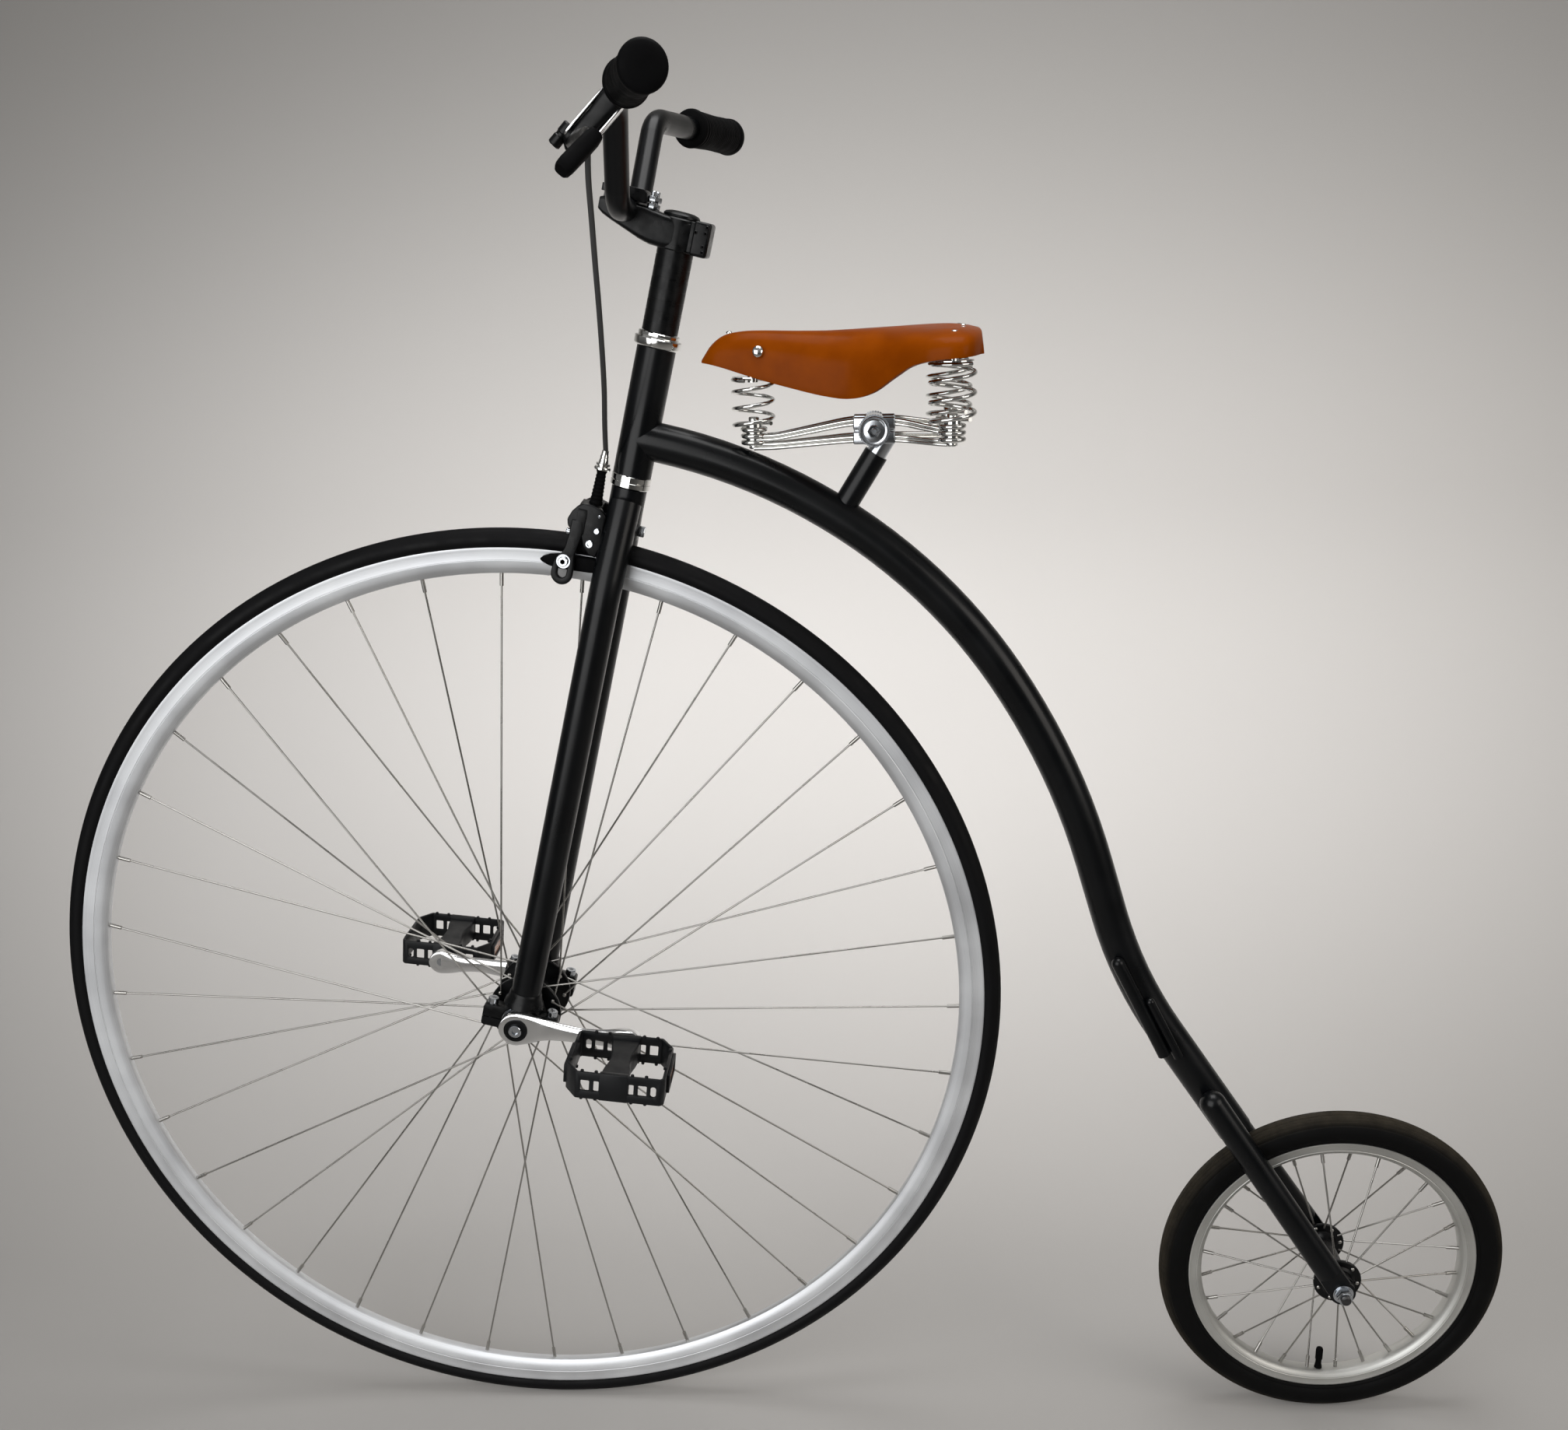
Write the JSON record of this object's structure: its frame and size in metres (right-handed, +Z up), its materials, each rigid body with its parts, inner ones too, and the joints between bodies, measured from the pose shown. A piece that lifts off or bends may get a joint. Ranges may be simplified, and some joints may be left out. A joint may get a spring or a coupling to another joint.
{
  "type": "penny farthing bicycle",
  "caption": "High-wheel bicycle: large spoked front wheel with cranks on its hub, curved backbone, small rear wheel, sprung leather saddle.",
  "frame": {"origin": "the rider's place at the top middle of the saddle", "axes": "+X to the rear, +Y to the rider's right, +Z up"},
  "size_m": [1.5959, 0.6988, 1.4238],
  "materials": {
    "black paint": "gloss",
    "chrome": "polished",
    "steel": "satin",
    "alloy": "satin",
    "black alloy": "satin",
    "tyre rubber": "matt",
    "grip rubber": "matt",
    "black plastic": "matt",
    "amber lens": "gloss",
    "tan leather": "gloss",
    "polished alloy": "polished"
  },
  "bodies": {
    "frame": {"backbone": "black paint", "head_tube": "black paint", "headset_rings": "chrome", "rear_legs": "black paint", "rear_axle": "chrome", "seat_post": "black paint", "mounting_steps": "black paint", "saddle_leather": "tan leather", "saddle_frame": "steel", "saddle_springs": "chrome", "saddle_rails": "chrome", "saddle_clamp": "steel"},
    "steering": {"fork_steerer": "black paint", "fork_blades": "black paint", "bearing_blocks": "black paint", "bearing_caps": "black paint", "bearings": "steel", "bearing_bolts": "chrome", "handlebar": "black paint", "grips": "grip rubber", "spacer_stack": "black alloy", "stem": "black alloy", "stem_cap": "black alloy", "stem_lid": "black alloy", "stem_bolts": "chrome", "brake_lever_bracket": "black alloy", "brake_lever": "alloy", "brake_lever_tip": "grip rubber", "brake_cable": "black plastic", "cable_adjuster": "chrome", "cable_boot": "grip rubber", "brake_bolts": "chrome", "caliper_arm_right": "black alloy", "caliper_arm_left": "black alloy", "brake_pads": "grip rubber"},
    "front_wheel": {"front_tyre": "tyre rubber", "front_rim": "alloy", "front_spokes": "steel", "front_hub": "black alloy", "front_axle": "steel", "cranks": "polished alloy", "crank_bolts": "black alloy", "pedal_spindles": "steel"},
    "pedal_left": {"pedal_left": "black plastic", "pedal_reflectors_left": "amber lens"},
    "pedal_right": {"pedal_right": "black plastic", "pedal_reflectors_right": "amber lens"},
    "rear_wheel": {"rear_tyre": "tyre rubber", "rear_rim": "alloy", "rear_spokes": "steel", "rear_hub": "black alloy", "rear_valve": "grip rubber"}
  },
  "joints": [
    {"name": "steering_turn", "type": "hinge", "parent": "frame", "child": "steering", "pos_m": [-0.405, 0, -0.694], "axis": [0.2487, 0, 0.9686], "range_deg": [-90, 90]},
    {"name": "front_wheel_spin", "type": "hinge", "parent": "steering", "child": "front_wheel", "pos_m": [-0.405, 0, -0.694], "axis": [0, 1, 0], "continuous": true},
    {"name": "pedal_left_spin", "type": "hinge", "parent": "front_wheel", "child": "pedal_left", "pos_m": [-0.28323, -0.145, -0.70145], "axis": [0, 1, 0], "continuous": true},
    {"name": "pedal_right_spin", "type": "hinge", "parent": "front_wheel", "child": "pedal_right", "pos_m": [-0.52677, 0.145, -0.68655], "axis": [0, 1, 0], "continuous": true},
    {"name": "rear_wheel_spin", "type": "hinge", "parent": "frame", "child": "rear_wheel", "pos_m": [0.486, 0, -1.019], "axis": [0, 1, 0], "continuous": true}
  ]
}
